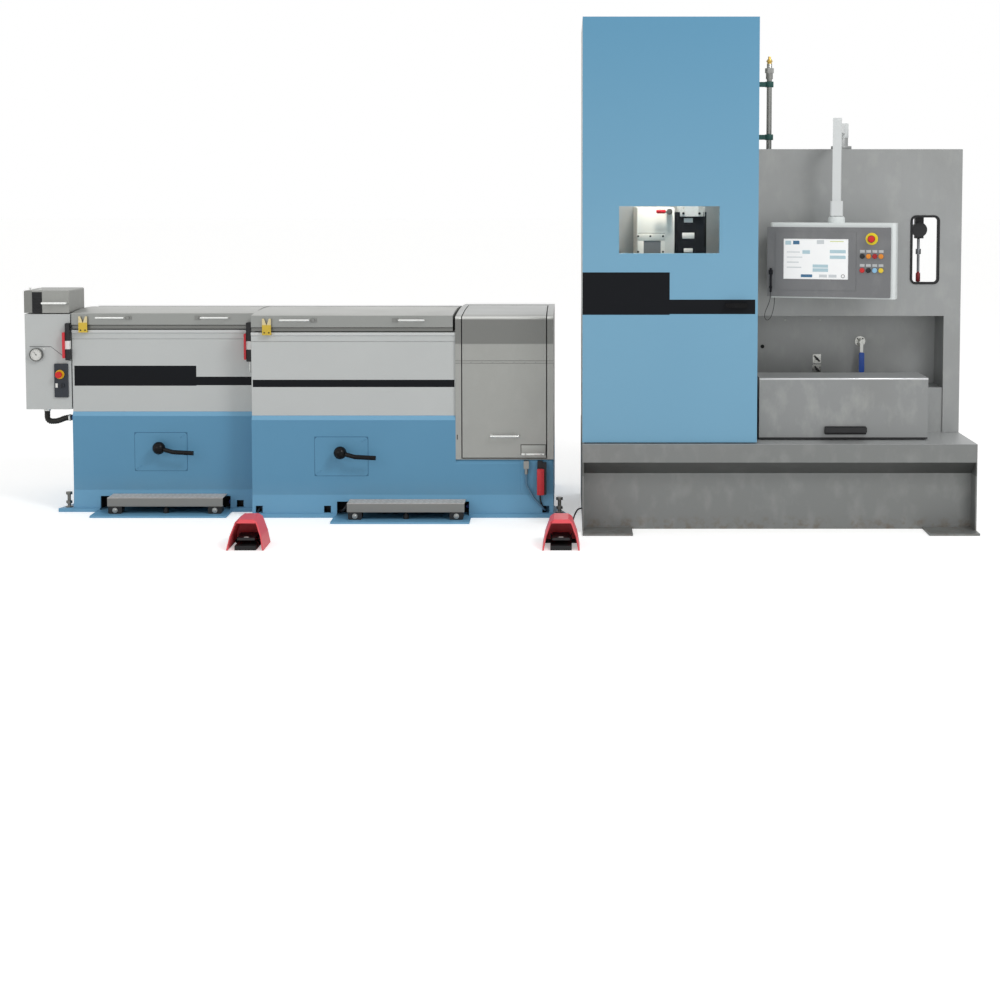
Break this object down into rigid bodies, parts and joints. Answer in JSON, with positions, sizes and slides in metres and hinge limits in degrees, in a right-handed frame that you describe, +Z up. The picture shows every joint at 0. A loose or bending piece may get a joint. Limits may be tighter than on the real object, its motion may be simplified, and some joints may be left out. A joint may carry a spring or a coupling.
{
  "type": "wire drawing machine",
  "caption": "Wire drawing line: a drawing machine with lidded sections, steps and a capstan end beside an induction annealer with a tall door, quench hood and swivelling operator panel.",
  "frame": {"origin": "on the floor, at the middle of the whole line without its free cords", "axes": "+X along the line from the wire inlet to the annealer, +Y from the operator side to the back, +Z up"},
  "size_m": [5.372, 2.09, 2.796],
  "materials": {
    "stainless": "brushed stainless sheet",
    "stainless_trim": "polished stainless bar",
    "blue_paint": "satin blue powder coat",
    "light_grey_paint": "satin light grey powder coat",
    "dark_grey_paint": "satin dark grey",
    "base_steel": "dull stainless sheet",
    "brass": "plain brass",
    "black_plastic": "matt black",
    "red_plastic": "satin red",
    "red_paint": "satin red enamel",
    "cream_paint": "satin cream",
    "black_rubber": "matt",
    "glass": "clear",
    "white_metal": "bright bare metal",
    "screen_glass": "white display face",
    "grey_plastic": "satin grey",
    "blue_plastic": "satin blue"
  },
  "bodies": {
    "line": {"section_1_base": "blue_paint", "section_2_base": "blue_paint", "section_1_panel": "light_grey_paint", "section_2_panel": "light_grey_paint", "section_1_housing": "light_grey_paint", "section_2_housing": "light_grey_paint", "brass_brackets": "brass", "interlock_switches": "black_plastic", "interlock_grips": "red_plastic", "capstan_frame": "stainless", "inlet_cabinet": "light_grey_paint", "inlet_controls": "dark_grey_paint", "inlet_hose": "black_rubber", "access_panels": "blue_paint", "steps": "stainless_trim", "step_mounts": "black_rubber", "levelling_bolts": "white_metal", "spray_hose": "grey_plastic", "foot_hoods": "red_paint", "foot_bases": "black_plastic", "annealer_base": "base_steel", "annealer_cabinet": "stainless", "drive_housing": "cream_paint", "inductor_column": "black_plastic", "column_flange": "white_metal", "wall": "stainless", "rubber_seals": "black_rubber", "recess": "stainless", "quench_tank": "stainless", "recess_fittings": "white_metal", "sensor_pipe": "dark_grey_paint", "air_pipe": "stainless_trim", "pipe_clamps": "dark_grey_paint", "arm_mount": "stainless", "foot_cord_1": "black_rubber", "foot_cord_2": "black_rubber"},
    "inlet_hood": {"inlet_hood": "stainless", "inlet_hood_fittings": "stainless_trim"},
    "lid_1": {"section_1_lid": "stainless", "section_1_lid_handles": "stainless_trim"},
    "lid_2": {"section_2_lid": "stainless", "section_2_lid_handles": "stainless_trim"},
    "capstan_cover": {"capstan_cover": "stainless"},
    "lever_1": {"section_1_lever": "black_plastic"},
    "lever_2": {"section_2_lever": "black_plastic"},
    "pedal_1": {"foot_pedal_1": "black_plastic"},
    "pedal_2": {"foot_pedal_2": "black_plastic"},
    "door": {"annealer_door": "blue_paint", "door_window": "glass"},
    "door_lever": {"door_lever": "black_plastic"},
    "quench_hood": {"quench_hood": "stainless", "quench_grip": "black_plastic"},
    "valve": {"valve_lever": "blue_plastic"},
    "arm": {"support_arm": "stainless"},
    "panel": {"panel_case": "light_grey_paint", "panel_plate": "dark_grey_paint", "screen": "screen_glass", "panel_buttons": "grey_plastic", "stylus": "black_plastic", "stylus_cord": "black_rubber"}
  },
  "joints": [
    {"name": "inlet_hood_hinge", "type": "hinge", "parent": "line", "child": "inlet_hood", "pos_m": [-2.556, 0.448, 1.172], "axis": [-1, 0, 0], "range_deg": [0, 60]},
    {"name": "lid_1_hinge", "type": "hinge", "parent": "line", "child": "lid_1", "pos_m": [-1.883, 0.695, 1.138], "axis": [-1, 0, 0], "range_deg": [0, 70]},
    {"name": "lid_2_hinge", "type": "hinge", "parent": "line", "child": "lid_2", "pos_m": [-0.7705, 0.695, 1.138], "axis": [-1, 0, 0], "range_deg": [0, 70]},
    {"name": "capstan_cover_hinge", "type": "hinge", "parent": "line", "child": "capstan_cover", "pos_m": [0.0935, 0.695, 1.144], "axis": [-1, 0, 0], "range_deg": [0, 60]},
    {"name": "lever_1_pivot", "type": "hinge", "parent": "line", "child": "lever_1", "pos_m": [-1.906, 0.095, 0.378], "axis": [0, 1, 0], "range_deg": [0, 35]},
    {"name": "lever_2_pivot", "type": "hinge", "parent": "line", "child": "lever_2", "pos_m": [-0.836, -0.09, 0.378], "axis": [0, 1, 0], "range_deg": [0, 35]},
    {"name": "door_hinge", "type": "hinge", "parent": "line", "child": "door", "pos_m": [0.543, -0.503, 1.64], "axis": [0, 0, -1], "range_deg": [0, 110]},
    {"name": "door_lever_pivot", "type": "hinge", "parent": "door", "child": "door_lever", "pos_m": [1.414, -0.539, 1.243], "axis": [0, -1, 0], "range_deg": [0, 90]},
    {"name": "quench_hood_hinge", "type": "hinge", "parent": "line", "child": "quench_hood", "pos_m": [1.9805, -0.079, 0.808], "axis": [-1, 0, 0], "range_deg": [0, 70]},
    {"name": "valve_lever_pivot", "type": "hinge", "parent": "line", "child": "valve", "pos_m": [2.158, 0.113, 0.986], "axis": [0, 1, 0], "range_deg": [0, 90]},
    {"name": "arm_swivel", "type": "hinge", "parent": "line", "child": "arm", "pos_m": [2.011, 0.005, 2.16], "axis": [0, 0, 1], "range_deg": [-8, 20]},
    {"name": "panel_swivel", "type": "hinge", "parent": "arm", "child": "panel", "pos_m": [1.939, -0.325, 1.71], "axis": [0, 0, 1], "range_deg": [-5, 30]},
    {"name": "pedal_1_pivot", "type": "hinge", "parent": "line", "child": "pedal_1", "pos_m": [-1.221, -0.877, 0.046], "axis": [1, 0, 0], "range_deg": [0, 8], "stiffness_Nm_per_rad": 20, "springref_deg": -5.73},
    {"name": "pedal_2_pivot", "type": "hinge", "parent": "line", "child": "pedal_2", "pos_m": [0.42, -0.877, 0.046], "axis": [1, 0, 0], "range_deg": [0, 8], "stiffness_Nm_per_rad": 20, "springref_deg": -5.73}
  ]
}
